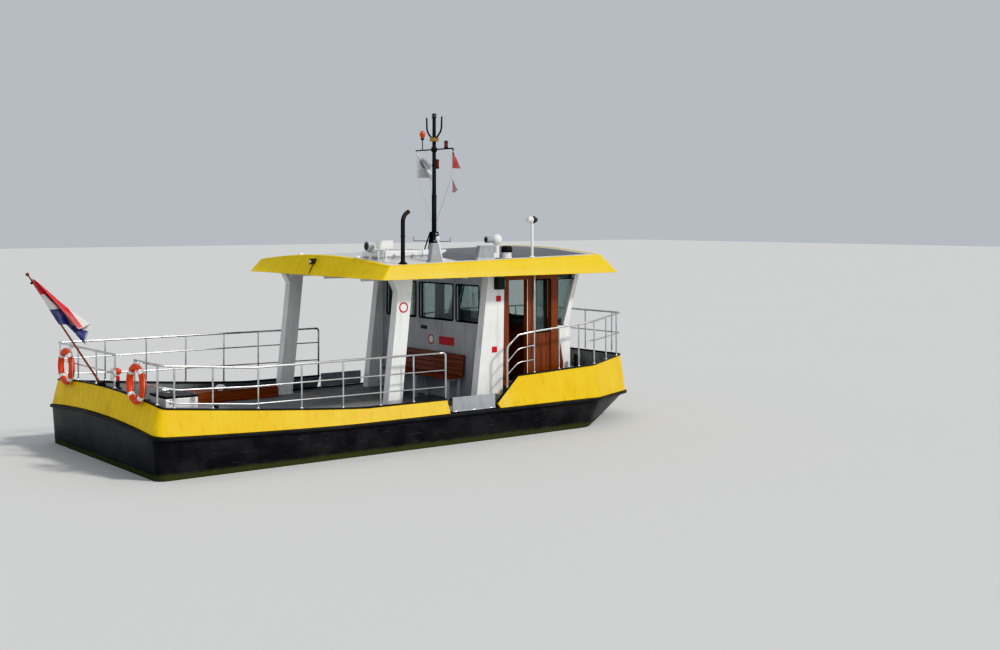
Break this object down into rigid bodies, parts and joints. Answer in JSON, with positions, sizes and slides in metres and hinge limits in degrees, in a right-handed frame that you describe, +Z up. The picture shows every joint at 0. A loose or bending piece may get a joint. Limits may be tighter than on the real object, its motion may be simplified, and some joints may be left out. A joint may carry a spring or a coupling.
{
  "type": "passenger ferry",
  "caption": "Small river passenger ferry with a decked steel hull, an open aft deck under a long crowned roof, a wheelhouse forward, a folding mast and a screw with a rudder.",
  "frame": {"origin": "on the centreline, amidships, at the waterline of the empty boat", "axes": "+X towards the bow, +Y to port, +Z up"},
  "size_m": [11.8698, 4.95, 6.91],
  "materials": {
    "hull": "semi-gloss",
    "yellow": "semi-gloss",
    "trim": "satin",
    "deck": "matte",
    "white": "semi-gloss",
    "grey": "satin",
    "rail": "satin",
    "mast": "satin",
    "mahogany": "varnished",
    "glass": "clear",
    "lid": "satin",
    "buoy": "matte",
    "cloth": "matte",
    "seat": "satin",
    "bronze": "polished",
    "engine": "satin"
  },
  "bodies": {
    "boat": {"hull": "hull", "rubbing_strake": "hull", "main_deck": "deck", "fore_deck": "deck", "bulwark_aft": "yellow", "bulwark_fore": "yellow", "cap_rail_aft": "trim", "cap_rail_fore": "trim", "rail_aft_starboard": "rail", "rail_aft_port": "rail", "rail_fore": "rail", "house_wall_aft": "white", "aft_glass": "glass", "house_wall_front": "white", "front_glass": "glass", "roof_fascia": "yellow", "roof_panel": "white", "pylon_aft_starboard": "white", "pylon_aft_port": "white", "side_frame_starboard": "mahogany", "side_frame_port": "mahogany", "side_glass_starboard": "glass", "side_glass_port": "glass", "lifebuoy_starboard": "buoy", "lifebuoy_port": "buoy", "exhaust_pipe": "trim", "tabernacle": "grey", "searchlight_stand": "white", "casing_fore": "grey", "casing_aft": "grey", "roof_locker": "white", "roof_vent": "white", "lamp_pole": "white", "bench": "mahogany", "side_locker": "mahogany", "deck_locker": "white", "engine": "engine", "ensign_staff": "mahogany", "ensign": "cloth", "helm_console": "mahogany", "helm_seat": "seat"},
    "propeller": {"propeller": "bronze"},
    "rudder": {"rudder": "hull"},
    "door_starboard": {"door_starboard": "mahogany", "door_glass_starboard": "glass"},
    "door_port": {"door_port": "mahogany", "door_glass_port": "glass"},
    "flap_starboard": {"boarding_flap_starboard": "grey"},
    "flap_port": {"boarding_flap_port": "grey"},
    "locker_lid": {"locker_lid": "lid"},
    "engine_hatch": {"engine_hatch": "deck"},
    "mast": {"mast": "mast"},
    "searchlight_aft": {"searchlight_aft": "grey"},
    "searchlight_fore": {"searchlight_fore": "white"}
  },
  "joints": [
    {"name": "propeller_spin", "type": "hinge", "parent": "boat", "child": "propeller", "pos_m": [-4.62, 0, -0.47], "axis": [1, 0, 0], "continuous": true},
    {"name": "rudder_turn", "type": "hinge", "parent": "boat", "child": "rudder", "pos_m": [-4.98, 0, -0.45], "axis": [0, 0, 1], "range_deg": [-35, 35]},
    {"name": "door_starboard_slide", "type": "slide", "parent": "boat", "child": "door_starboard", "axis": [1, 0, 0], "range_m": [-0.57, 0]},
    {"name": "door_port_slide", "type": "slide", "parent": "boat", "child": "door_port", "axis": [1, 0, 0], "range_m": [0, 0.57]},
    {"name": "flap_starboard_fold", "type": "hinge", "parent": "boat", "child": "flap_starboard", "pos_m": [0.81, -2.35, 0.59], "axis": [1, 0, 0], "range_deg": [0, 90]},
    {"name": "flap_port_fold", "type": "hinge", "parent": "boat", "child": "flap_port", "pos_m": [0.81, 2.35, 0.59], "axis": [-1, 0, 0], "range_deg": [0, 90]},
    {"name": "locker_lid_lift", "type": "hinge", "parent": "boat", "child": "locker_lid", "pos_m": [-4.675, -1.952, 1.221], "axis": [1, 0, 0], "range_deg": [0, 95]},
    {"name": "engine_hatch_lift", "type": "hinge", "parent": "boat", "child": "engine_hatch", "pos_m": [-2.46, 0, 0.556], "axis": [0, 1, 0], "range_deg": [0, 95]},
    {"name": "mast_fold", "type": "hinge", "parent": "boat", "child": "mast", "pos_m": [1.56, 0, 3.75], "axis": [0, -1, 0], "range_deg": [0, 90]},
    {"name": "searchlight_aft_pan", "type": "hinge", "parent": "boat", "child": "searchlight_aft", "pos_m": [-0.87, -1.48, 3.565], "axis": [0, 0, 1], "range_deg": [-170, 170]},
    {"name": "searchlight_fore_pan", "type": "hinge", "parent": "boat", "child": "searchlight_fore", "pos_m": [1.505, -2.11, 3.668], "axis": [0, 0, 1], "range_deg": [-170, 170]}
  ]
}
